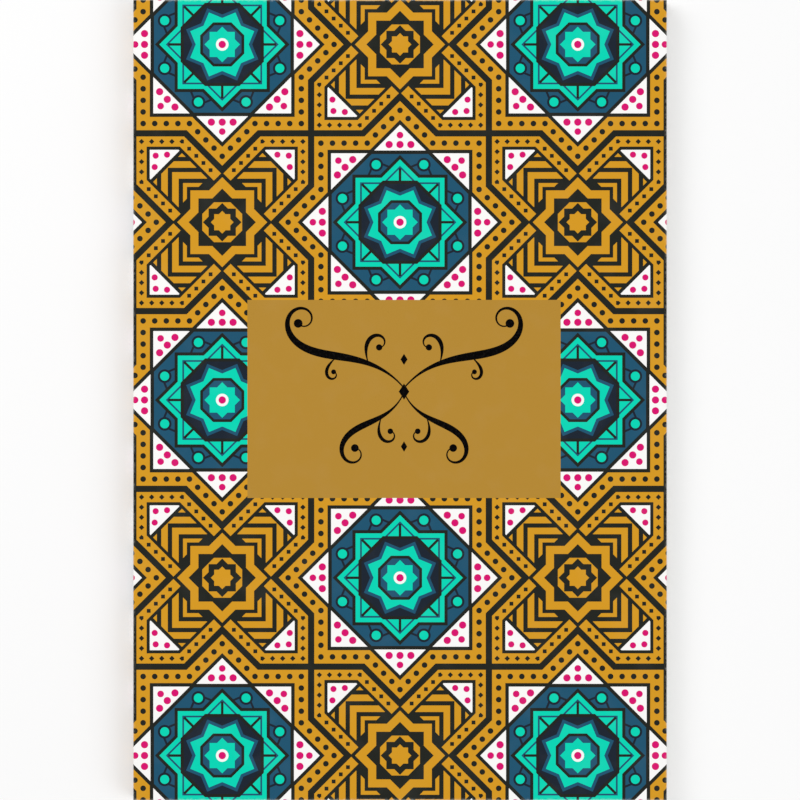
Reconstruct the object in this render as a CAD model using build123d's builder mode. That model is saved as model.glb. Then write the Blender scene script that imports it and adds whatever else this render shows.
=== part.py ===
from build123d import *
import os
from string import ascii_lowercase

# Softcover address book, closed and lying on its back cover. Millimetres.
# X runs from the spine to the fore edge, Y from the tail to the head, Z up through the thickness.
# The origin is under the middle of the book, on the surface that it lies on.

# Driving dimensions
trim_width = 152.4  # fold of the spine to the trimmed fore edge
trim_height = 228.6  # tail to head
paper_caliper = 0.108  # one leaf of white text paper
leaf_air = 0.0064  # air left between pressed leaves
letter_leaf_count = 2  # leaves for each letter of the index
notes_leaf_count = 2
cover_card = 0.27  # laminated cover card
fold_radius = 0.15  # outside of the two spine folds
score_offset = 6.5  # fold of the spine to the hinge score
score_depth = 0.09  # each half of the V pressed in along a score
spine_glue_thickness = 0.5
side_glue_film = 0.05
side_glue_width = 5.0
gutter_taper = 10.0  # loose leaves thin towards the glue over this width, so that they can fan

# Groups of loose leaves from the back of the book to its front
leaf_groups = {"notes_leaves": notes_leaf_count}
leaf_groups.update({f"leaves_{letter}": letter_leaf_count for letter in reversed(ascii_lowercase)})

# Places along X
spine_x = -trim_width / 2
fore_x = trim_width / 2
card_inner_x = spine_x + cover_card
bound_x = card_inner_x + spine_glue_thickness
taper_x = bound_x + gutter_taper
score_x = spine_x + score_offset

# Levels along Z
leaf_pitch = paper_caliper + leaf_air
end_leaf_z = cover_card + side_glue_film
loose_back_z = end_leaf_z + paper_caliper + leaf_air / 2
loose_front_z = loose_back_z + sum(leaf_groups.values()) * leaf_pitch
owner_leaf_z = loose_front_z + leaf_air / 2
front_film_z = owner_leaf_z + paper_caliper
front_card_z = front_film_z + side_glue_film
book_thickness = front_card_z + cover_card

panel_width = fore_x - score_x
panel_mid_x = (fore_x + score_x) / 2
strip_width = score_x - card_inner_x
strip_mid_x = (score_x + card_inner_x) / 2
side_glue_mid_x = bound_x + side_glue_width / 2
leaf_width = fore_x - bound_x
leaf_mid_x = (fore_x + bound_x) / 2

os.makedirs("parts", exist_ok=True)

# Front cover panel, with its half of the score along the hinge on the outside
with BuildPart() as front_cover:
    with BuildSketch(Plane.XY.offset(front_card_z)):
        with Locations((panel_mid_x, 0)):
            Rectangle(panel_width, trim_height)
    extrude(amount=cover_card)
    outer_edges = front_cover.edges().filter_by(Axis.Y).group_by(Axis.Z)[-1]
    chamfer(outer_edges.sort_by(Axis.X)[0], score_depth)
front_cover.part.label = "front_cover"
export_step(front_cover.part, "parts/front_cover.step")

# Strip of the cover between the front score and the spine, glued down to the block
with BuildPart() as front_hinge_strip:
    with BuildSketch(Plane.XY.offset(front_card_z)):
        with Locations((strip_mid_x, 0)):
            Rectangle(strip_width, trim_height)
    extrude(amount=cover_card)
    outer_edges = front_hinge_strip.edges().filter_by(Axis.Y).group_by(Axis.Z)[-1]
    chamfer(outer_edges.sort_by(Axis.X)[-1], score_depth)
front_hinge_strip.part.label = "front_hinge_strip"
export_step(front_hinge_strip.part, "parts/front_hinge_strip.step")

# Back cover panel, which the book lies on
with BuildPart() as back_cover:
    with BuildSketch(Plane.XY):
        with Locations((panel_mid_x, 0)):
            Rectangle(panel_width, trim_height)
    extrude(amount=cover_card)
    outer_edges = back_cover.edges().filter_by(Axis.Y).group_by(Axis.Z)[0]
    chamfer(outer_edges.sort_by(Axis.X)[0], score_depth)
back_cover.part.label = "back_cover"
export_step(back_cover.part, "parts/back_cover.step")

# Strip of the cover between the back score and the spine
with BuildPart() as back_hinge_strip:
    with BuildSketch(Plane.XY):
        with Locations((strip_mid_x, 0)):
            Rectangle(strip_width, trim_height)
    extrude(amount=cover_card)
    outer_edges = back_hinge_strip.edges().filter_by(Axis.Y).group_by(Axis.Z)[0]
    chamfer(outer_edges.sort_by(Axis.X)[-1], score_depth)
back_hinge_strip.part.label = "back_hinge_strip"
export_step(back_hinge_strip.part, "parts/back_hinge_strip.step")

# Spine of the cover, rounded where the card is folded
with BuildPart() as spine_cover:
    with BuildSketch(Plane.XY):
        with Locations((spine_x + cover_card / 2, 0)):
            Rectangle(cover_card, trim_height)
    extrude(amount=book_thickness)
    folds = spine_cover.edges().filter_by(Axis.Y).group_by(Axis.X)[0]
    fillet(folds, fold_radius)
spine_cover.part.label = "spine_cover"
export_step(spine_cover.part, "parts/spine_cover.step")

# Bar of binding glue that holds the leaves' edges to the inside of the spine
with BuildPart() as spine_glue:
    with BuildSketch(Plane.XY.offset(cover_card)):
        with Locations((card_inner_x + spine_glue_thickness / 2, 0)):
            Rectangle(spine_glue_thickness, trim_height)
    extrude(amount=front_card_z - cover_card)
spine_glue.part.label = "spine_glue"
export_step(spine_glue.part, "parts/spine_glue.step")

# Film of side glue between the front hinge strip and the owner's leaf
with BuildPart() as front_side_glue:
    with BuildSketch(Plane.XY.offset(front_film_z)):
        with Locations((side_glue_mid_x, 0)):
            Rectangle(side_glue_width, trim_height)
    extrude(amount=side_glue_film)
front_side_glue.part.label = "front_side_glue"
export_step(front_side_glue.part, "parts/front_side_glue.step")

# Film of side glue between the back hinge strip and the end leaf
with BuildPart() as back_side_glue:
    with BuildSketch(Plane.XY.offset(cover_card)):
        with Locations((side_glue_mid_x, 0)):
            Rectangle(side_glue_width, trim_height)
    extrude(amount=side_glue_film)
back_side_glue.part.label = "back_side_glue"
export_step(back_side_glue.part, "parts/back_side_glue.step")

# First and last leaf, which the side glue holds to the strips of the cover
for leaf_name, leaf_z in (("owner_leaf", owner_leaf_z), ("end_leaf", end_leaf_z)):
    with BuildPart() as glued_leaf:
        with BuildSketch(Plane.XY.offset(leaf_z)):
            with Locations((leaf_mid_x, 0)):
                Rectangle(leaf_width, trim_height)
        extrude(amount=paper_caliper)
    glued_leaf.part.label = leaf_name
    export_step(glued_leaf.part, f"parts/{leaf_name}.step")

# Groups of loose leaves, each leaf a sheet that feathers to the line where it is glued
group_z = loose_back_z
for group_name, leaf_count in leaf_groups.items():
    group_mid_z = group_z + leaf_count * leaf_pitch / 2
    with BuildPart() as leaf_group:
        with BuildSketch(Plane.XZ):
            for index in range(leaf_count):
                under_z = group_z + index * leaf_pitch + leaf_air / 2
                over_z = under_z + paper_caliper
                glued_z = group_mid_z + (index - (leaf_count - 1) / 2) * leaf_air
                with BuildLine():
                    Polyline(
                        (bound_x, glued_z),
                        (taper_x, under_z),
                        (fore_x, under_z),
                        (fore_x, over_z),
                        (taper_x, over_z),
                        close=True,
                    )
                make_face()
        extrude(amount=trim_height / 2, both=True)
    leaf_group.part.label = group_name
    export_step(leaf_group.part, f"parts/{group_name}.step")
    group_z += leaf_count * leaf_pitch
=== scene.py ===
from math import cos, hypot, pi, radians, sin, sqrt, tan
from string import ascii_lowercase

import bmesh
import bpy
from mathutils import Matrix, Vector


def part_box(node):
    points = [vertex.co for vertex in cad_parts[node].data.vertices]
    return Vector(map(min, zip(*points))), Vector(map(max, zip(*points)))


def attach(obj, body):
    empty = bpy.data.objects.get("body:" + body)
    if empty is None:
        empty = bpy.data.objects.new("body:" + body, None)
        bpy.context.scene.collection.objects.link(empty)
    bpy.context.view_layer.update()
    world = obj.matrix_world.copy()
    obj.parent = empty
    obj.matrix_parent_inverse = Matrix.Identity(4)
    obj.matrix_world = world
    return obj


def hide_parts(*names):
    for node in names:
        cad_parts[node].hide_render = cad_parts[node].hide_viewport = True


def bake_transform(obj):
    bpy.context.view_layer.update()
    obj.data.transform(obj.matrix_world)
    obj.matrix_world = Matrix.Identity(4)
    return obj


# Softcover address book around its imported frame. Sizes are in millimetres and become metres in the meshes.
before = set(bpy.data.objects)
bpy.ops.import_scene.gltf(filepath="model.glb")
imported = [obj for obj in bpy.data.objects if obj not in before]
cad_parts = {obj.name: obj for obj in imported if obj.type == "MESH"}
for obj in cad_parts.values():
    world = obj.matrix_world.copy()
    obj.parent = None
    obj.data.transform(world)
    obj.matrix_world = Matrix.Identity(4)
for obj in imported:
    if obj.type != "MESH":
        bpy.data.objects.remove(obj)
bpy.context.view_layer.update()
scene = bpy.context.scene
mm = 0.001
slant = 1 / sqrt(2)  # what a step on the diagonal goes along each axis


def nodeBox(node):
    low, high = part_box(node)
    return low / mm, high / mm


panelLow, panelHigh = nodeBox("front_cover")
spineFace = nodeBox("spine_cover")[0].x
book = {
    "fore": panelHigh.x,
    "score": panelLow.x,
    "strip": (panelLow.x + spineFace) / 2,  # middle of the card between score and spine
    "spine": spineFace,
    "bound": nodeBox("leaves_a")[0].x,
    "head": panelHigh.y,
    "front": panelHigh.z,
    "card": panelHigh.z - panelLow.z,
}
print("frame loaded,", len(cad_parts), "nodes")


class Wire:
    # a socket of a node tree; arithmetic on it adds Math nodes
    def __init__(self, tree, socket=None):
        self.tree = tree
        self.socket = socket

    def node(self, kind, settings, inputs, output=0):
        made = self.tree.nodes.new(kind)
        for name, value in settings.items():
            setattr(made, name, value)
        for key, value in inputs.items():
            if isinstance(value, Wire):
                self.tree.links.new(value.socket, made.inputs[key])
            else:
                made.inputs[key].default_value = value
        return Wire(self.tree, made.outputs[output])

    def math(self, operation, *values):
        return self.node("ShaderNodeMath", {"operation": operation}, dict(enumerate(values)))

    def __add__(self, other):
        return self.math("ADD", self, other)

    def __sub__(self, other):
        return self.math("SUBTRACT", self, other)

    def __rsub__(self, other):
        return self.math("SUBTRACT", other, self)

    def __mul__(self, other):
        return self.math("MULTIPLY", self, other)

    def __truediv__(self, other):
        return self.math("DIVIDE", self, other)

    def __pow__(self, other):
        return self.math("POWER", self, other)

    def __abs__(self):
        return self.math("ABSOLUTE", self)

    def __lt__(self, other):
        return self.math("LESS_THAN", self, other)

    def __gt__(self, other):
        return self.math("GREATER_THAN", self, other)

    # on masks of 0 and 1
    def __and__(self, other):
        return self.math("MULTIPLY", self, other)

    def __or__(self, other):
        return self.math("MAXIMUM", self, other)

    __radd__ = __add__
    __rmul__ = __mul__

    def least(self, other):
        return self.math("MINIMUM", self, other)

    def most(self, other):
        return self.math("MAXIMUM", self, other)

    def over(self, floor):
        # what stands above a floor
        return (self - floor).most(0.0)

    def between(self, low, high):
        return (self > low) & (self < high)

    def bounce(self, step):
        return self.math("PINGPONG", self, step)

    def part(self, index):
        return self.node("ShaderNodeSeparateXYZ", {}, {0: self}, index)

    def vector(self, x, y, z):
        return self.node("ShaderNodeCombineXYZ", {}, {0: x, 1: y, 2: z})

    def stretched(self, x, y, z):
        return self.node("ShaderNodeMapping", {}, {"Vector": self, "Scale": (x, y, z)})

    def noise(self, scale, detail):
        return self.node("ShaderNodeTexNoise", {}, {"Vector": self, "Scale": scale, "Detail": detail})

    def bump(self, strength, depth):
        return self.node("ShaderNodeBump", {}, {"Strength": strength, "Distance": depth * mm, "Height": self})

    def colour(self, tint):
        made = self.node("ShaderNodeRGB", {}, {})
        made.socket.default_value = inks[tint]
        return made

    def painted(self, colour, mask):
        return self.node("ShaderNodeMix", {"data_type": "RGBA"}, {0: mask, 6: self, 7: colour}, 2)


def near(along, across, spot, radius):
    # round dot about a spot, worked out with squares
    return ((along - spot[0]) ** 2 + (across - spot[1]) ** 2) < radius * radius


def ink(red, green, blue):
    # linear colour of an 8-bit one
    def linear(value):
        share = value / 255
        return share / 12.92 if share <= 0.04045 else ((share + 0.055) / 1.055) ** 2.4

    return (linear(red), linear(green), linear(blue), 1.0)


inks = {
    "gold": ink(212, 152, 33),
    "panel": ink(179, 135, 51),
    "charcoal": ink(29, 31, 26),
    "teal": ink(0, 213, 180),
    "navy": ink(30, 82, 109),
    "deepNavy": ink(24, 33, 45),
    "white": ink(250, 249, 247),
    "pink": ink(215, 14, 109),
    "black": ink(3, 2, 2),
    "thinInk": ink(78, 72, 70),
    "core": ink(238, 233, 222),
    "cardStain": ink(214, 208, 196),
    "paper": ink(244, 242, 236),
    "paperStain": ink(214, 207, 192),
    "rule": ink(176, 190, 198),
    "glue": ink(232, 222, 190),
    "glueStain": ink(206, 188, 146),
    "floor": ink(250, 250, 250),
    "backdrop": ink(255, 255, 255),
}


def newMaterial(name):
    made = bpy.data.materials.new(name)
    made.use_nodes = True
    tree = made.node_tree
    shader = tree.nodes["Principled BSDF"]
    return made, Wire(tree), shader


def feed(wire, shader, **sockets):
    for name, value in sockets.items():
        target = shader.inputs[name.replace("_", " ")]
        if isinstance(value, Wire):
            wire.tree.links.new(value.socket, target)
        else:
            target.default_value = value


def sheetPlace(wire):
    # place on the flat sheet in millimetres, from the piece's own UV map
    return wire.node("ShaderNodeUVMap", {"uv_map": "sheet"}, {})


# Print of the cover: eight-pointed stars on a half-drop grid, with crosses between them.
# A ring is a colour, a shape, and how far it reaches or from where to where.
starPrint = {
    "repeat": 101.6,
    "crossStrap": (26.3, 29.2),
    "lozengeRow": 27.75,
    "lozengesToCrossing": 4,
    "lozengeSize": 0.78,
    "lozengeClear": 11.5,  # none this near to the middle of a cross
    "crossField": 30.1,
    "chevronArm": (11.9, 22.1),
    "chevronEvery": 4.4,
    "chevronShare": 0.6,
    "armTip": 23.1,
    "armDots": ((24.8, 2.5), (26.9, 0.0)),
    "armDotSize": 0.88,
    "crossRings": (
        ("charcoal", "crossStar", 10.1),
        ("gold", "crossStar", 9.1),
        ("charcoal", "crossStar", 6.8),
        ("gold", "crossOctagon", 5.7),
        ("charcoal", "crossStar", 3.9),
        ("gold", "crossStar", 2.3),
    ),
    "starStrap": (20.7, 24.5),
    "beadRow": 22.6,
    "beadsToPoint": 4,
    "beadSize": 0.8,
    "pointFill": 19.7,
    "pointBase": 20.5,
    "pointDots": ((22.2, 3.1), (22.2, 0.0)),
    "pointDotSize": 1.04,
    "tipDot": (24.9, 0.0),
    "tipDotSize": 0.95,
    "fieldRings": (
        ("navy", "octagon", 19.5),
        ("deepNavy", "turnedStar", (13.1, 13.7)),
    ),
    "fieldDot": (17.8, 0.0),
    "fieldDotSizes": (("deepNavy", 1.95), ("teal", 1.3)),
    "petalRings": (
        ("charcoal", "star", 13.6),
        ("teal", "star", 12.7),
        ("navy", "star", (10.9, 11.4)),
    ),
    "spoke": (11.3, 15.4),
    "spokeHalf": 0.36,
    "heartRings": (
        ("charcoal", "octagon", 11.9),
        ("deepNavy", "octagon", 11.0),
        ("navy", "turnedStar", 7.9),
        ("teal", "turnedStar", 7.0),
        ("charcoal", "octagon", 6.3),
        ("navy", "octagon", 5.5),
        ("teal", "star", 3.6),
    ),
    "heartDotSizes": (("white", 1.8), ("pink", 1.05)),
}


def starAxes(first, second):
    # a sixteenth of a star: along the axis of its nearest point, off that axis, and out to its edge
    far = first.most(second)
    close = first.least(second)
    along = far.most((far + close) * slant)
    off = close.least((far - close) * slant)
    return along, off, (along + off) * slant


def ringMasks(rings, shapes):
    for tint, shape, limit in rings:
        reach = shapes[shape]
        mask = reach.between(*limit) if isinstance(limit, tuple) else reach < limit
        yield tint, mask


def printed(colour, layers):
    for tint, mask in layers:
        colour = colour.painted(inks[tint], mask)
    return colour


def starColour(wire, u, v):
    plan = starPrint
    reach = plan["repeat"] / sqrt(8)
    drop = plan["repeat"] / 2
    # how far off the nearest star's centre is along each diagonal
    first = ((u + v - drop) * slant).bounce(reach)
    second = ((u - v + drop) * slant).bounce(reach)
    along, off, star = starAxes(first, second)
    # the same star turned by half a point
    turn = radians(22.5)
    turnedAlong = along * cos(turn) + off * sin(turn)
    turnedOff = along * sin(turn) - off * cos(turn)
    # the cross, from its own centre
    arm = reach - first.least(second)
    armOff = reach - first.most(second)
    crossOctagon, _, crossStar = starAxes(arm, armOff)
    shapes = {
        "star": star,
        "octagon": along,
        "turnedStar": (turnedAlong + turnedOff) * slant,
        "crossStar": crossStar,
        "crossOctagon": crossOctagon,
    }

    # beads sit on a star's strap, and lozenges run from the notch between two points to where straps cross
    run = (along - off) * slant
    beadEvery = plan["beadRow"] * (1 - tan(turn)) / plan["beadsToPoint"]
    beadRun = (run - plan["beadRow"]).bounce(beadEvery / 2)
    notch = plan["lozengeRow"] * tan(turn)
    crossing = reach * sqrt(2) - plan["lozengeRow"]
    lozengeEvery = (crossing - notch) / plan["lozengesToCrossing"]
    lozengeRun = (run - notch).bounce(lozengeEvery / 2)
    lozenges = abs(star - plan["lozengeRow"]) + lozengeRun < plan["lozengeSize"]
    lozenges = lozenges & (crossStar > plan["lozengeClear"])

    field = star > plan["crossField"]
    stripes = wire.math("FRACT", (arm + armOff) / plan["chevronEvery"]) < plan["chevronShare"]
    armTip = field & (arm > plan["armTip"])
    armDots = [near(arm, armOff, spot, plan["armDotSize"]) for spot in plan["armDots"]]
    points = (star < plan["pointFill"]) & (along > plan["pointBase"])
    pointDots = [near(along, off, spot, plan["pointDotSize"]) for spot in plan["pointDots"]]
    fieldDots = [(tint, near(turnedAlong, turnedOff, plan["fieldDot"], size))
                 for tint, size in plan["fieldDotSizes"]]
    heartDots = [(tint, near(along, off, (0, 0), size)) for tint, size in plan["heartDotSizes"]]
    layers = [
        ("gold", star.between(*plan["crossStrap"])),
        ("charcoal", lozenges),
        ("gold", field & arm.between(*plan["chevronArm"]) & stripes),
        ("white", armTip),
        ("pink", armTip & (armDots[0] | armDots[1])),
        *ringMasks(plan["crossRings"], shapes),
        ("gold", star.between(*plan["starStrap"])),
        ("charcoal", near(star, beadRun, (plan["beadRow"], 0), plan["beadSize"])),
        ("white", points),
        ("pink", points & (pointDots[0] | pointDots[1])),
        ("pink", near(along, off, plan["tipDot"], plan["tipDotSize"])),
        *ringMasks(plan["fieldRings"], shapes),
        *fieldDots,
        *ringMasks(plan["petalRings"], shapes),
        ("charcoal", along.between(*plan["spoke"]) & (off < plan["spokeHalf"])),
        *ringMasks(plan["heartRings"], shapes),
        *heartDots,
    ]
    return printed(wire.colour("charcoal"), layers)


# Plain label panel on the front cover
labelPanel = {"across": (-43.6, 45.9), "upright": (-28.0, 28.6)}

# Matt laminate over the print, lightly rubbed where the card is cut and over the spine folds.
# A noise is its scale to the millimetre and its detail, and a bump is its strength and depth.
laminate = {
    "roughness": 0.42,
    "shine": 0.08,
    "grain": (2.6, 3.0),
    "grainBump": (0.05, 0.02),
    "grainRoughness": 0.12,
    "mottle": (0.12, 4.0),
    "mottleFloor": 0.5,
    "mottleWhite": 0.04,
    "rub": (1.1, 5.0),
    "rubFloor": 0.42,
    "rubReach": 0.7,
    "rubColour": 0.8,
    "rubRoughness": 0.5,
    "foldEase": 0.15,
    "foldLoss": 0.13,  # what the round of a fold takes off the run of the sheet
}


def coverMaterial():
    plan = laminate
    made, wire, shader = newMaterial("printedLaminate")
    place = sheetPlace(wire)
    u, v = place.part(0), place.part(1)
    panel = u.between(*labelPanel["across"]) & v.between(*labelPanel["upright"])
    colour = starColour(wire, u, v).painted(inks["panel"], panel)
    mottle = place.noise(*plan["mottle"]).over(plan["mottleFloor"])
    colour = colour.painted(inks["white"], mottle * plan["mottleWhite"])
    # half the sheet runs from the middle of the spine to a fore edge
    halfRun = book["fore"] - book["spine"] + book["front"] / 2 - plan["foldLoss"]
    fromSpine = abs(u - book["fore"] + halfRun)
    foldGap = abs(fromSpine - book["front"] / 2) + plan["foldEase"]
    edgeGap = (book["head"] - abs(v)).least(halfRun - fromSpine).least(foldGap)
    rub = (1 - edgeGap / plan["rubReach"]).most(0.0) * place.noise(*plan["rub"]).over(plan["rubFloor"])
    colour = colour.painted(inks["core"], rub * plan["rubColour"])
    grain = place.noise(*plan["grain"])
    roughness = plan["roughness"] + grain * plan["grainRoughness"] + rub * plan["rubRoughness"]
    feed(wire, shader, Base_Color=colour, Roughness=roughness, Normal=grain.bump(*plan["grainBump"]),
         Specular_IOR_Level=plan["shine"])
    return made


# White card of the cover, inside and where it is cut
cardStock = {
    "roughness": 0.78,
    "shine": 0.25,
    "fibre": (2.2, 5.0),
    "fibreStretch": 0.35,
    "fibreFloor": 0.42,
    "fibreBump": (0.12, 0.02),
    "fibreRoughness": 0.1,
    "insideStain": 0.35,
    "coreStain": 0.6,
    "cloud": (0.06, 3.0),
    "cloudFloor": 0.5,
    "cloudStain": 0.12,
}


def fibreStock(place, plan, fibreStain):
    # fibres drawn out across the sheet, and how much they and faint clouds stain it
    fibres = place.stretched(plan["fibreStretch"], 1.0, 1.0).noise(*plan["fibre"])
    cloud = place.noise(*plan["cloud"]).over(plan["cloudFloor"])
    return fibres, fibres.over(plan["fibreFloor"]) * fibreStain + cloud * plan["cloudStain"]


def finishStock(wire, shader, plan, colour, fibres):
    feed(wire, shader, Base_Color=colour, Roughness=plan["roughness"] + fibres * plan["fibreRoughness"],
         Normal=fibres.bump(*plan["fibreBump"]), Specular_IOR_Level=plan["shine"])


def cardMaterial(name, tint, fibreStain):
    made, wire, shader = newMaterial(name)
    fibres, stain = fibreStock(sheetPlace(wire), cardStock, fibreStain)
    colour = wire.colour(tint).painted(inks["cardStain"], stain)
    finishStock(wire, shader, cardStock, colour, fibres)
    return made


printedLaminate = coverMaterial()
cardInside = cardMaterial("cardInside", "paper", cardStock["insideStain"])
cardCore = cardMaterial("cardCore", "core", cardStock["coreStain"])

# Card of the cover: one sheet round the block, in four pieces that meet where the card stays flat
coverCard = {
    "foldInside": 0.03,  # radius inside a spine fold
    "foldReach": 1.1,  # the card bends this far each way from a spine fold
    "foldSteps": 10,
    "scoreDepth": 0.02,
    "scoreWidth": 0.45,  # each way from the score
    "bendReach": 1.4,  # close steps start this far out on the panel from its score
    "bendPast": 0.5,  # close steps go on this far over the strip
    "bendSteps": 19,
    "panelSteps": 6,
    "spineSteps": 2,
}
sharpAngle = 0.6  # edges that turn by more than this, in radians, stay sharp


def spread(start, end, steps):
    return [start + (end - start) * index / steps for index in range(steps + 1)]


def coverOutline():
    # outside of the card from the front's fore edge round the spine to the back's, as x, z and outward normal
    plan = coverCard
    radius = book["card"] + plan["foldInside"]
    bendStart = book["score"] + plan["bendReach"]
    xs = spread(book["fore"], bendStart, plan["panelSteps"])[:-1]
    xs += spread(bendStart, book["score"] - plan["bendPast"], plan["bendSteps"])
    xs += [book["strip"], book["spine"] + plan["foldReach"]]
    front = []
    for x in xs:
        dip = max(0.0, 1 - abs(x - book["score"]) / plan["scoreWidth"]) * plan["scoreDepth"]
        front.append((x, book["front"] - dip, 0.0, 1.0))
    arc = []
    for angle in spread(90, 180, plan["foldSteps"]):
        nx, nz = cos(radians(angle)), sin(radians(angle))
        arc.append((book["spine"] + radius * (1 + nx), book["front"] - radius * (1 - nz), nx, nz))
    levels = spread(book["front"] - plan["foldReach"], book["front"] / 2, plan["spineSteps"])
    upper = front + arc + [(book["spine"], z, -1.0, 0.0) for z in levels]
    lower = [(x, book["front"] - z, nx, -nz) for x, z, nx, nz in reversed(upper[:-1])]
    return upper + lower


def finished(name, mesh, materials):
    # round where the sheet curves, sharp where it is cut
    for made in mesh.faces:
        made.smooth = True
    for edge in mesh.edges:
        edge.smooth = len(edge.link_faces) == 2 and edge.calc_face_angle() < sharpAngle
    data = bpy.data.meshes.new(name)
    mesh.to_mesh(data)
    mesh.free()
    for material in materials:
        data.materials.append(material)
    piece = bpy.data.objects.new(name, data)
    scene.collection.objects.link(piece)
    return piece


def cardPiece(name, outline, runs):
    mesh = bmesh.new()
    sheet = mesh.loops.layers.uv.new("sheet")
    tail, head = -book["head"], book["head"]
    rows = []
    for x, z, nx, nz in outline:
        inX, inZ = x - nx * book["card"], z - nz * book["card"]
        corners = ((x, tail, z), (x, head, z), (inX, head, inZ), (inX, tail, inZ))
        rows.append([mesh.verts.new(Vector(corner) * mm) for corner in corners])
    runOf = {vert: run for row, run in zip(rows, runs) for vert in row}
    outside, inside, cut = range(3)

    def face(verts, material):
        made = mesh.faces.new(verts)
        made.material_index = material
        for loop in made.loops:
            loop[sheet].uv = (runOf[loop.vert], loop.vert.co.y / mm)

    for here, after in zip(rows, rows[1:]):
        face((here[0], here[1], after[1], after[0]), outside)
        face((here[2], here[3], after[3], after[2]), inside)
        face((here[1], here[2], after[2], after[1]), cut)
        face((here[3], here[0], after[0], after[3]), cut)
    face(rows[0], cut)
    face(list(reversed(rows[-1])), cut)
    bmesh.ops.recalc_face_normals(mesh, faces=mesh.faces)
    return finished(name, mesh, [printedLaminate, cardInside, cardCore])


def coverPieces():
    outline = coverOutline()
    # length along the flat sheet, counted so that it equals x on the front
    runs = [outline[0][0]]
    for before, after in zip(outline, outline[1:]):
        runs.append(runs[-1] - hypot(after[0] - before[0], after[1] - before[1]))
    # cut in the middle of each strip and of the spine
    tiny = 1e-6
    cuts = [index for index, (x, z, _, _) in enumerate(outline)
            if min(abs(x - book["strip"]), abs(z - book["front"] / 2)) < tiny]
    ends = [0] + cuts + [len(outline) - 1]
    names = ["front_cover_card", "front_fold_card", "back_fold_card", "back_cover_card"]
    made = {}
    for name, first, last in zip(names, ends, ends[1:]):
        made[name] = cardPiece(name, outline[first:last + 1], runs[first:last + 1])
    return made


cover = coverPieces()
scoreX, spineX, frontZ = book["score"] * mm, book["spine"] * mm, book["front"] * mm
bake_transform(cover["front_cover_card"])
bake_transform(cover["front_fold_card"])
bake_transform(cover["back_fold_card"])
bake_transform(cover["back_cover_card"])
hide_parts("front_cover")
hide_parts("front_hinge_strip", "spine_cover")
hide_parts("back_hinge_strip")
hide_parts("back_cover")
print("cover made,", sum(len(piece.data.polygons) for piece in cover.values()), "faces")


# Leaves: two to a letter, a little thinner than the frame's so that their edges show apart
leafPlan = {
    "count": 2,
    "caliper": 0.1,
    "columns": 33,
    "crowding": 1.6,
    "trimJitter": 0.025,
    "bendFrom": -24.0,  # a span counted from its glued edge
    "bendTo": 50.0,
    "gluedSeed": 40,
}
# from leaf to leaf, and from the underside of a leaf to its middle
groupLow, groupHigh = nodeBox("leaves_a")
leafPlan["pitch"] = (groupLow.z - nodeBox("leaves_b")[0].z) / leafPlan["count"]
leafPlan["middle"] = (groupHigh.z - groupLow.z - leafPlan["pitch"] * (leafPlan["count"] - 1)) / 2

# Ruled pages with a stepped index down the fore edge
pagePrint = {
    "across": (-60.0, 60.0),
    "upright": (-96.0, 84.0),
    "row": 9.0,
    "rowsToEntry": 5,
    "ruleHalf": 0.16,
    "nameRuleHalf": 0.2,
    "entryGap": 1.0,  # no rule this near to where an entry ends
    "blockLow": 0.3,
    "blockTop": 1.0,
    "starAhead": 3.4,
    "starAbove": 1.6,
    "starSize": 1.15,
    "headLine": 88.0,
    "headLead": 4.0,
    "headHalf": 0.28,
    "tabDeep": 6.4,
    "tabHalf": 3.7,
    "tabStep": 8.1,
    "noTab": 500.0,  # off the page
}

# Owner's page: a double frame, a star and lines to write on
ownerPlate = {
    "middle": 2.0,
    "frame": (58.0, 97.0),
    "frameLines": ((-0.45, 0.45), (-2.6, -2.3)),
    "starLevel": 52.0,
    "starRings": (
        ("navy", "star", 15.0),
        ("paper", "star", 14.2),
        ("teal", "star", 12.0),
        ("navy", "octagon", 8.4),
        ("paper", "star", 6.2),
        ("gold", "star", 4.6),
    ),
    "starDots": (((0.0, 0.0), 1.6), ((13.4, 0.0), 0.8)),
    "lineLevel": -2.0,
    "lineEvery": 14.0,
    "lineHalf": 0.15,
    "lineReach": 44.0,
    "lineRange": (-75.0, 14.0),
}

# Uncoated white text paper
textPaper = {
    "roughness": 0.82,
    "shine": 0.15,
    "fibre": (1.8, 6.0),
    "fibreStretch": 0.4,
    "fibreFloor": 0.45,
    "fibreBump": (0.15, 0.02),
    "fibreRoughness": 0.1,
    "fibreStain": 0.4,
    "cloud": (0.05, 3.0),
    "cloudFloor": 0.5,
    "cloudStain": 0.1,
    "edgeStain": 0.12,
}


def leafValue(wire, name):
    return wire.node("ShaderNodeAttribute", {"attribute_name": name}, {}, "Fac")


def ruledBlock(u, v):
    low, top = pagePrint["upright"]
    upright = v.between(low - pagePrint["blockLow"], top - pagePrint["blockTop"])
    return u.between(*pagePrint["across"]) & upright


def headRule(u, v):
    inner, outer = pagePrint["across"]
    level = abs(v - pagePrint["headLine"]) < pagePrint["headHalf"]
    return u.between(inner - pagePrint["headLead"], outer) & level


def entryRules(u, v, colour):
    plan = pagePrint
    rowHalf, entryHalf = plan["row"] / 2, plan["row"] * plan["rowsToEntry"] / 2
    down = plan["upright"][1] - v
    block = ruledBlock(u, v)
    rules = (down.bounce(rowHalf) < plan["ruleHalf"]) & (down.bounce(entryHalf) > plan["entryGap"])
    nameRules = (down - plan["row"]).bounce(entryHalf) < plan["nameRuleHalf"]
    # a small star opens each name line
    ahead = abs(u - plan["across"][0] + plan["starAhead"])
    above = (down - plan["row"] + plan["starAbove"]).bounce(entryHalf)
    stars = (starAxes(ahead, above)[2] < plan["starSize"]) & v.between(*plan["upright"])
    return printed(colour, [
        ("rule", block & rules),
        ("navy", block & nameRules),
        ("teal", stars),
        ("teal", headRule(u, v)),
    ])


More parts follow.
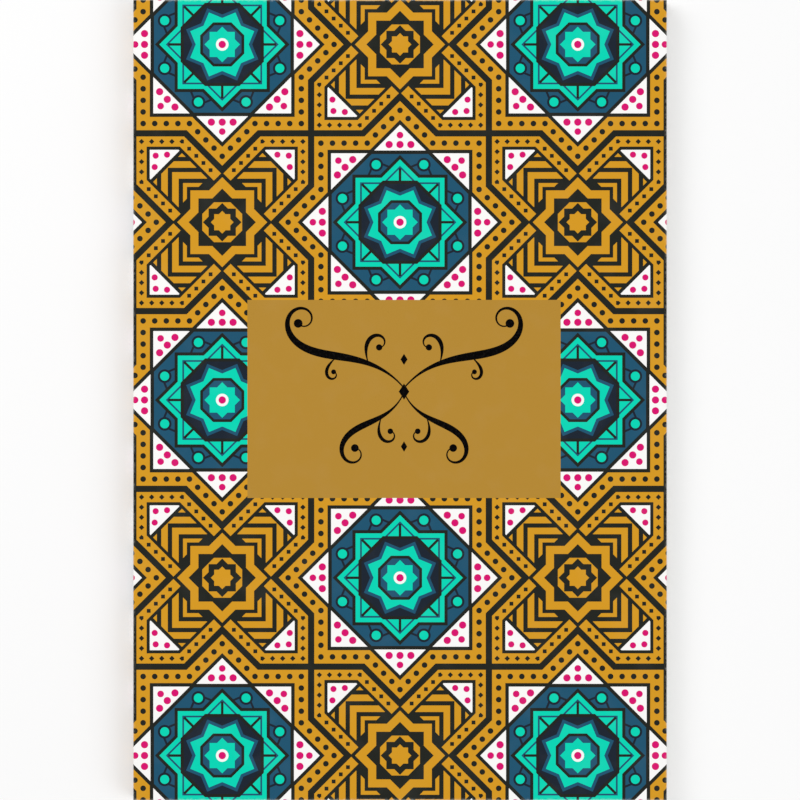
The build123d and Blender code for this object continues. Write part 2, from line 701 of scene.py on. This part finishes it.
# side is 1 on a right-hand page, -1 on a left-hand page and 0 on a cut edge
def letterPage(wire, u, v, side, colour):
    plan = pagePrint
    # lines start at the gutter on a right-hand page and at the fore edge on a left-hand one
    written = u * (1 - (side < -0.5) * 2)
    colour = entryRules(written, v, colour)
    tab = (u > book["fore"] - plan["tabDeep"]) & (abs(v - leafValue(wire, "tabLevel")) < plan["tabHalf"])
    return colour.painted(inks["teal"], tab)


def notesPage(wire, u, v, side, colour):
    rules = (pagePrint["upright"][1] - v).bounce(pagePrint["row"] / 2) < pagePrint["ruleHalf"]
    return printed(colour, [("rule", ruledBlock(u, v) & rules), ("navy", headRule(u, v))])


def ownerPage(wire, u, v, side, colour):
    plan = ownerPlate
    across = abs(u - plan["middle"])
    edge = (across - plan["frame"][0]).most(abs(v) - plan["frame"][1])
    frameLines = [edge.between(*limits) for limits in plan["frameLines"]]
    along, off, star = starAxes(across, abs(v - plan["starLevel"]))
    lines = (v - plan["lineLevel"]).bounce(plan["lineEvery"] / 2) < plan["lineHalf"]
    plate = printed(colour, [
        ("gold", frameLines[0] | frameLines[1]),
        *ringMasks(plan["starRings"], {"star": star, "octagon": along}),
        *[("pink", near(along, off, spot, size)) for spot, size in plan["starDots"]],
        ("navy", lines & (across < plan["lineReach"]) & v.between(*plan["lineRange"])),
    ])
    return colour.painted(plate, side > 0.5)


def plainPage(wire, u, v, side, colour):
    return colour


def paperMaterial(name, page):
    made, wire, shader = newMaterial(name)
    place = sheetPlace(wire)
    side = leafValue(wire, "side")
    fibres, stain = fibreStock(place, textPaper, textPaper["fibreStain"])
    stain = stain + (abs(side) < 0.5) * textPaper["edgeStain"]
    colour = wire.colour("paper").painted(inks["paperStain"], stain)
    colour = page(wire, place.part(0), place.part(1), side, colour)
    finishStock(wire, shader, textPaper, colour, fibres)
    return made


# Ink of the letters and of the pen, thin in places
inkFilm = {
    "roughness": 0.5,
    "shine": 0.02,
    "load": (1.4, 3.0),
    "loadFloor": 0.5,
    "loadThin": 0.4,
    "loadRoughness": 0.2,
}


def inkMaterial(name, tint):
    plan = inkFilm
    made, wire, shader = newMaterial(name)
    load = sheetPlace(wire).noise(*plan["load"])
    colour = wire.colour(tint).painted(inks["thinInk"], load.over(plan["loadFloor"]) * plan["loadThin"])
    feed(wire, shader, Base_Color=colour, Roughness=plan["roughness"] + load * plan["loadRoughness"],
         Specular_IOR_Level=plan["shine"])
    return made


def leafTree():
    # a stack of thin sheets, each knocked up a little unevenly
    tree = bpy.data.node_groups.new("leafStack", "GeometryNodeTree")
    kinds = dict.fromkeys(["Count", "Seed", "Columns"], "Int")
    kinds.update(dict.fromkeys(["Pitch", "Caliper", "Width", "Height", "Bound X", "Base Z"], "Float"))
    kinds.update(dict.fromkeys(["Crowding", "Trim Jitter", "Tab Level"], "Float"))
    kinds["Paper"] = "Material"
    entries = {}
    for name, kind in kinds.items():
        made = tree.interface.new_socket(name, in_out="INPUT", socket_type="NodeSocket" + kind)
        entries[name] = made.identifier
    tree.interface.new_socket("Leaves", in_out="OUTPUT", socket_type="NodeSocketGeometry")
    entry = tree.nodes.new("NodeGroupInput")
    given = {name: Wire(tree, entry.outputs[name]) for name in kinds}
    wire = Wire(tree)
    place = wire.node("GeometryNodeInputPosition", {}, {})
    sheet = wire.node("GeometryNodeMeshCube", {}, {
        "Size": wire.vector(given["Width"], given["Height"], given["Caliper"]),
        "Vertices X": given["Columns"], "Vertices Y": 2, "Vertices Z": 2})
    # columns stand closer towards the glued edge
    share = (place.part(0) / given["Width"] + 0.5).most(0.0)
    along = given["Bound X"] + given["Width"] * share ** given["Crowding"]
    sheet = wire.node("GeometryNodeSetPosition", {}, {
        "Geometry": sheet, "Position": wire.vector(along, place.part(1), place.part(2))})
    inMm = wire.node("ShaderNodeVectorMath", {"operation": "SCALE"}, {0: place, "Scale": 1 / mm})
    facing = wire.node("GeometryNodeInputNormal", {}, {}).part(2)
    stored = (
        ("sheet", "FLOAT2", "CORNER", inMm),
        ("side", "FLOAT", "FACE", facing),
        ("tabLevel", "FLOAT", "POINT", given["Tab Level"]),
    )
    for name, kind, domain, value in stored:
        sheet = wire.node("GeometryNodeStoreNamedAttribute", {"data_type": kind, "domain": domain},
                          {"Geometry": sheet, "Name": name, "Value": value})
    line = wire.node("GeometryNodeMeshLine", {"mode": "OFFSET"}, {
        "Count": given["Count"], "Start Location": wire.vector(0.0, 0.0, given["Base Z"]),
        "Offset": wire.vector(0.0, 0.0, given["Pitch"])})
    stack = wire.node("GeometryNodeInstanceOnPoints", {}, {"Points": line, "Instance": sheet})
    # least and most of the knock, and its seed
    jitter = given["Trim Jitter"]
    knock = wire.node("FunctionNodeRandomValue", {"data_type": "FLOAT_VECTOR"}, {
        0: wire.vector(jitter * -2, jitter * -1, 0.0), 1: wire.vector(0.0, jitter, 0.0), 8: given["Seed"]})
    stack = wire.node("GeometryNodeTranslateInstances", {}, {"Instances": stack, "Translation": knock})
    stack = wire.node("GeometryNodeRealizeInstances", {}, {"Geometry": stack})
    stack = wire.node("GeometryNodeSetMaterial", {}, {"Geometry": stack, "Material": given["Paper"]})
    tree.links.new(stack.socket, tree.nodes.new("NodeGroupOutput").inputs[0])
    return tree, entries


def evaluated(holder):
    bpy.context.view_layer.update()
    graph = bpy.context.evaluated_depsgraph_get()
    shown = holder.evaluated_get(graph)
    return bpy.data.meshes.new_from_object(shown, preserve_all_data_layers=True, depsgraph=graph)


def leafMesh(name, count, paper, tabLevel, seed):
    plan = leafPlan
    holder = bpy.data.objects.new(name + "_maker", bpy.data.meshes.new(name + "_maker"))
    scene.collection.objects.link(holder)
    maker = holder.modifiers.new("leafStack", "NODES")
    maker.node_group = leafStack
    slack = plan["trimJitter"] * 2
    inner = book["bound"] + slack
    sizes = {
        "Count": count,
        "Seed": seed,
        "Columns": plan["columns"],
        "Pitch": plan["pitch"] * mm,
        "Caliper": plan["caliper"] * mm,
        "Width": (book["fore"] - inner) * mm,
        "Height": (book["head"] * 2 - slack) * mm,
        "Bound X": inner * mm,
        "Base Z": (nodeBox(name)[0].z + plan["middle"]) * mm,
        "Crowding": plan["crowding"],
        "Trim Jitter": plan["trimJitter"] * mm,
        "Tab Level": tabLevel,
        "Paper": paper,
    }
    for entry, value in sizes.items():
        maker[leafEntries[entry]] = value
    mesh = evaluated(holder)
    bpy.data.objects.remove(holder)
    return mesh


# Letters at the head of a page and on its tab
indexLetters = {
    "headSize": 13.0,
    "headAt": (53.5, 97.5),
    "tabSize": 5.2,
    "relief": 0.004,
    "curveSteps": 4,
    "weld": 0.0002,
    "sliver": 1e-6,  # share of the longest side's square
}


def letterMesh(letter, size):
    plan = indexLetters
    text = bpy.data.curves.new("letter", "FONT")
    text.body = letter
    text.size = size * mm
    text.extrude = plan["relief"] / 2 * mm
    text.align_x, text.align_y = "CENTER", "CENTER"
    text.resolution_u = plan["curveSteps"]
    holder = bpy.data.objects.new("letter", text)
    scene.collection.objects.link(holder)
    made = evaluated(holder)
    bpy.data.objects.remove(holder)
    # faces and rim come apart, so they are joined into one closed letter
    mesh = bmesh.new()
    mesh.from_mesh(made)
    bmesh.ops.remove_doubles(mesh, verts=mesh.verts, dist=plan["weld"] * mm)
    slivers = {}
    for face in mesh.faces:
        longest = max(face.edges, key=lambda edge: edge.calc_length())
        if face.calc_area() < plan["sliver"] * longest.calc_length() ** 2:
            slivers[longest] = face
    bmesh.ops.dissolve_edges(mesh, edges=list(slivers))
    bmesh.ops.recalc_face_normals(mesh, faces=mesh.faces)
    mesh.to_mesh(made)
    mesh.free()
    return made


def addLetter(mesh, letter, size, place, front):
    sheet = mesh.loops.layers.uv["sheet"]
    flat = letterMesh(letter, size)
    turn = Matrix.Identity(4) if front else Matrix.Rotation(pi, 4, "Y")
    flat.transform(Matrix.Translation(Vector(place) * mm) @ turn)
    before = len(mesh.faces)
    mesh.from_mesh(flat)
    mesh.faces.ensure_lookup_table()
    for made in mesh.faces[before:]:
        made.material_index = 1
        for loop in made.loops:
            loop[sheet].uv = (loop.vert.co.x / mm, loop.vert.co.y / mm)
    bpy.data.meshes.remove(flat)


def leafGroup(name, count, paper, letter, tabLevel, seed):
    mesh = bmesh.new()
    made = leafMesh(name, count, paper, tabLevel, seed)
    mesh.from_mesh(made)
    bpy.data.meshes.remove(made)
    for sheetFace in mesh.faces:
        sheetFace.material_index = 0
    if letter:
        plan = indexLetters
        low = nodeBox(name)[0].z + leafPlan["middle"] - leafPlan["caliper"] / 2
        high = low + leafPlan["pitch"] * (count - 1) + leafPlan["caliper"]
        lift = plan["relief"] / 4  # a quarter of a letter stays in the paper
        tabX = book["fore"] - pagePrint["tabDeep"] / 2
        for front, z in ((True, high + lift), (False, low - lift)):
            addLetter(mesh, letter, plan["headSize"], (*plan["headAt"], z), front)
            addLetter(mesh, letter, plan["tabSize"], (tabX, tabLevel, z), front)
    return finished(name + "_paper", mesh, [paper, letterInk])


letteredPaper = paperMaterial("letteredPaper", letterPage)
notesPaper = paperMaterial("notesPaper", notesPage)
ownerPaper = paperMaterial("ownerPaper", ownerPage)
plainPaper = paperMaterial("plainPaper", plainPage)
letterInk = inkMaterial("letterInk", "deepNavy")
leafStack, leafEntries = leafTree()

turning = {"notes_leaves": (notesPaper, None, pagePrint["noTab"])}
middleTab = (len(ascii_lowercase) - 1) / 2
for index, letter in enumerate(ascii_lowercase):
    turning["leaves_" + letter] = (letteredPaper, letter.upper(), (middleTab - index) * pagePrint["tabStep"])
for seed, (name, (paper, letter, tabLevel)) in enumerate(turning.items()):
    group = leafGroup(name, leafPlan["count"], paper, letter, tabLevel, seed)
    middle = (nodeBox(name)[0].z + nodeBox(name)[1].z) / 2 * mm
    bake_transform(group)
    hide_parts(name)
glued = {"owner_leaf": (ownerPaper, "front_hinge"), "end_leaf": (plainPaper, "back_hinge")}
for name, (paper, body) in glued.items():
    leaf = leafGroup(name, 1, paper, None, pagePrint["noTab"], leafPlan["gluedSeed"])
    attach(leaf, body)
    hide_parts(name)
print("leaves made,", len(turning) + len(glued), "groups")


# Binding glue: the bar and films of the frame keep their shape. Its noises are scaled to the metre.
bindingGlue = {
    "roughness": 0.34,
    "shine": 0.4,
    "cloud": (90.0, 4.0),
    "cloudFloor": 0.4,
    "cloudStain": 1.4,
    "drag": (900.0, 3.0),
    "dragStretch": 0.12,
    "dragBump": (0.3, 0.05),
    "dragRoughness": 0.2,
}


def glueMaterial():
    plan = bindingGlue
    made, wire, shader = newMaterial("hotMeltGlue")
    place = wire.node("ShaderNodeTexCoord", {}, {}, "Object")
    cloud = place.noise(*plan["cloud"]).over(plan["cloudFloor"])
    colour = wire.colour("glue").painted(inks["glueStain"], cloud * plan["cloudStain"])
    drag = place.stretched(1.0, plan["dragStretch"], 1.0).noise(*plan["drag"])
    feed(wire, shader, Base_Color=colour, Roughness=plan["roughness"] + drag * plan["dragRoughness"],
         Normal=drag.bump(*plan["dragBump"]), Specular_IOR_Level=plan["shine"])
    return made


hotMeltGlue = glueMaterial()
for name in ("spine_glue", "front_side_glue", "back_side_glue"):
    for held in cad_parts[name].material_slots:
        held.material = hotMeltGlue
print("glue finished")


# Flourish on the label, in mirrored pen scrolls and lozenges. Each stroke lies a little over the last.
labelFlourish = {
    "centre": (1.15, 0.2),
    "film": 0.006,
    "sunk": 0.002,
    "strokeStep": 0.0004,
    "ballStep": 0.0002,
    "lozengeStep": 0.001,
    "steps": 90,
    "ballSides": 24,
    "swell": 0.43,
    # start, heading, turns with their powers, length, thin and thick width, ball
    "scrolls": [
        ((0.0, 3.2), 50, ((-150, 1), (525, 3.6)), 57.0, 0.4, 2.3, 1.25),
        ((0.5, 0.95), -62, ((165, 1), (-470, 3)), 36.0, 0.35, 1.8, 1.1),
        ((10.2, 10.2), 74, ((30, 1), (265, 2.4)), 15.5, 0.3, 1.2, 0.9),
        ((6.5, -5.25), -70, ((-40, 1), (-250, 2.4)), 13.0, 0.3, 1.0, 0.8),
        ((19.5, 12.0), -48, ((20, 1), (-330, 2.4)), 11.0, 0.3, 0.95, 0.7),
    ],
    # level, half width, half height
    "lozenges": [(2.2, 1.5, 2.3), (11.4, 1.0, 1.6), (-13.5, 0.9, 1.5)],
}


def penPath(start, heading, turns, length):
    # points and headings along a scroll whose heading follows powers of its length
    steps = labelFlourish["steps"]
    x, y = start
    path = []
    for index in range(steps + 1):
        share = index / steps
        angle = radians(heading + sum(turn * share ** power for turn, power in turns))
        path.append((x, y, angle, share))
        x += cos(angle) * length / steps
        y += sin(angle) * length / steps
    return path


def penWidth(share, thin, thick):
    peak = labelFlourish["swell"]
    rise = share / peak / 2 if share < peak else 0.5 + (share - peak) / (1 - peak) / 2
    return thin + (thick - thin) * sin(pi * rise) ** 2


def inkSolid(mesh, ring, height):
    # rim of a thin film of ink over a ring of places on the label; the caller closes its two layers
    cx, cy = labelFlourish["centre"]
    layers = []
    for level in (-labelFlourish["sunk"], height):
        z = book["front"] + level
        layers.append([mesh.verts.new(Vector((cx + x, cy + y, z)) * mm) for x, y in ring])
    for index in range(len(ring)):
        after = (index + 1) % len(ring)
        mesh.faces.new((layers[0][index], layers[0][after], layers[1][after], layers[1][index]))
    return layers


def penStroke(mesh, path, thin, thick, mirror, height):
    sides = ([], [])
    for x, y, angle, share in path:
        half = penWidth(share, thin, thick) / 2
        for side, sign in zip(sides, (1, -1)):
            side.append((mirror * (x - sign * half * sin(angle)), y + sign * half * cos(angle)))
    for layer in inkSolid(mesh, sides[0] + sides[1][::-1], height):
        for index in range(len(path) - 1):
            mesh.faces.new((layer[index], layer[index + 1], layer[-index - 2], layer[-index - 1]))


def flourishPiece():
    plan = labelFlourish
    mesh = bmesh.new()
    sheet = mesh.loops.layers.uv.new("sheet")
    height = plan["film"]
    for mirror in (1, -1):
        for start, heading, turns, length, thin, thick, ball in plan["scrolls"]:
            height += plan["strokeStep"]
            path = penPath(start, heading, turns, length)
            penStroke(mesh, path, thin, thick, mirror, height)
            endX, endY = mirror * path[-1][0], path[-1][1]
            angles = spread(0, 2 * pi, plan["ballSides"])[:-1]
            ring = [(endX + ball * cos(angle), endY + ball * sin(angle)) for angle in angles]
            for layer in inkSolid(mesh, ring, height + plan["ballStep"]):
                mesh.faces.new(layer)
    for y, half, tall in plan["lozenges"]:
        ring = [(half, y), (0.0, y + tall), (-half, y), (0.0, y - tall)]
        for layer in inkSolid(mesh, ring, height + plan["lozengeStep"]):
            mesh.faces.new(layer)
    bmesh.ops.recalc_face_normals(mesh, faces=mesh.faces)
    for made in mesh.faces:
        for loop in made.loops:
            loop[sheet].uv = (loop.vert.co.x / mm, loop.vert.co.y / mm)
    return finished("label_flourish", mesh, [penInk])


penInk = inkMaterial("penInk", "black")
flourish = flourishPiece()
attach(flourish, "front_cover")
print("flourish made,", len(flourish.data.polygons), "faces")


# Floor, light and camera; the floor's size and fade, the lamps and the camera's clip are in metres
studio = {
    "floorZ": -0.7,  # millimetres, clear of the back cover when it is turned back
    "floorSize": 24.0,
    "floorRoughness": 0.9,
    "floorFade": (0.2, 0.75),
    "floorLift": 0.3,
    "world": 0.54,
    "lamps": (("keyLight", (-0.75, 0.65, 0.95), 9.0), ("fillLight", (0.85, -0.55, 0.9), 5.5)),
    "lampSize": 0.9,
    "lens": 200.0,
    "sensor": 36.0,
    "clipEnd": 10.0,
}


def seenDirectly(wire):
    # rays that show the backdrop itself, not its light
    kinds = ("Is Camera Ray", "Is Glossy Ray", "Is Transmission Ray")
    rays = [wire.node("ShaderNodeLightPath", {}, {}, kind) for kind in kinds]
    return rays[0] | rays[1] | rays[2]


def floorMaterial():
    made, wire, shader = newMaterial("whitePaperFloor")
    feed(wire, shader, Base_Color=inks["floor"], Roughness=studio["floorRoughness"], Specular_IOR_Level=0.0)
    # plain white away from the book, so that no horizon shows
    place = wire.node("ShaderNodeTexCoord", {}, {}, "Object")
    away = wire.node("ShaderNodeVectorMath", {"operation": "LENGTH"}, {0: place}, "Value")
    fadeFrom, fadeTo = studio["floorFade"]
    fade = wire.node("ShaderNodeMapRange", {"interpolation_type": "SMOOTHSTEP"}, {
        "Value": away, "From Min": fadeFrom, "From Max": fadeTo,
        "To Min": studio["floorLift"], "To Max": 1.0})
    white = wire.node("ShaderNodeEmission", {}, {"Color": inks["backdrop"], "Strength": 1.0})
    lit = Wire(wire.tree, shader.outputs["BSDF"])
    mixed = wire.node("ShaderNodeMixShader", {}, {0: fade * seenDirectly(wire), 1: lit, 2: white})
    wire.tree.links.new(mixed.socket, wire.tree.nodes["Material Output"].inputs["Surface"])
    return made


def buildStudio():
    plan = studio
    bpy.ops.mesh.primitive_plane_add(size=plan["floorSize"], location=(0, 0, plan["floorZ"] * mm))
    floor = bpy.context.object
    floor.name = "floor"
    floor.data.materials.append(floorMaterial())
    world = bpy.data.worlds.new("softStudio")
    scene.world = world
    world.use_nodes = True
    wire = Wire(world.node_tree)
    glow = plan["world"] + seenDirectly(wire) * (1 - plan["world"])
    feed(wire, world.node_tree.nodes["Background"], Color=inks["backdrop"], Strength=glow)
    for name, place, power in plan["lamps"]:
        lamp = bpy.data.lights.new(name, "AREA")
        lamp.size = plan["lampSize"]
        lamp.energy = power
        holder = bpy.data.objects.new(name, lamp)
        holder.location = place
        holder.rotation_euler = (-Vector(place)).to_track_quat("-Z", "Y").to_euler()
        scene.collection.objects.link(holder)
    camera = bpy.data.objects.new("camera", bpy.data.cameras.new("camera"))
    camera.data.lens = plan["lens"]
    camera.data.sensor_width = plan["sensor"]
    # as far off as lets the cover's height fill the picture
    away = book["head"] * mm * plan["lens"] / (plan["sensor"] / 2)
    camera.location = (0, 0, frontZ + away)
    camera.data.clip_end = plan["clipEnd"]
    scene.collection.objects.link(camera)
    scene.camera = camera


buildStudio()
scene.view_settings.view_transform = "Standard"
print("studio ready")
